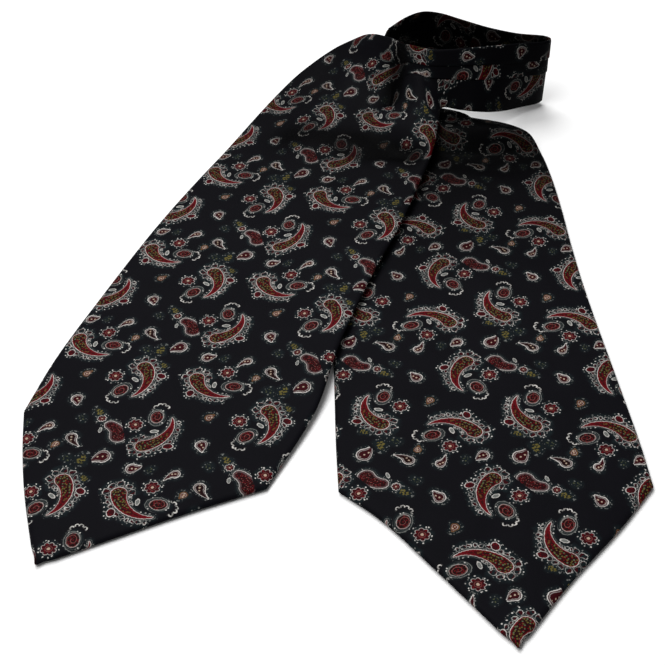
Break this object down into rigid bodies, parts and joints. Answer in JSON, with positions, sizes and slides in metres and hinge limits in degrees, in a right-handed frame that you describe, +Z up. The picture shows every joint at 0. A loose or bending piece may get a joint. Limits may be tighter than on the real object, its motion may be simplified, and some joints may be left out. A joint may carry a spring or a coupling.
{
  "type": "silk cravat",
  "caption": "Silk day cravat laid down crossed: a pleated neckband standing in a narrow loop, with two long pointed blades, one across the other.",
  "frame": {"origin": "on the table, under the middle of the whole cravat as it lies", "axes": "+Z up from the table, +Y from the blades' points towards the neck loop, +X to the right as the printed side is seen"},
  "size_m": [0.3108, 0.4964, 0.0514],
  "materials": {
    "silk_front": "black printed silk with a soft sheen and a red and grey paisley repeat",
    "silk_band": "the same printed silk, pleated lengthwise",
    "silk_back": "the same printed silk, on the hidden side of the blades"
  },
  "bodies": {
    "root": {"over_blade_front": "silk_front", "over_blade_back": "silk_back", "under_blade_front": "silk_front", "under_blade_back": "silk_back", "band_front": "silk_band", "band_back": "silk_band", "neck_turn": "silk_band"}
  },
  "joints": []
}
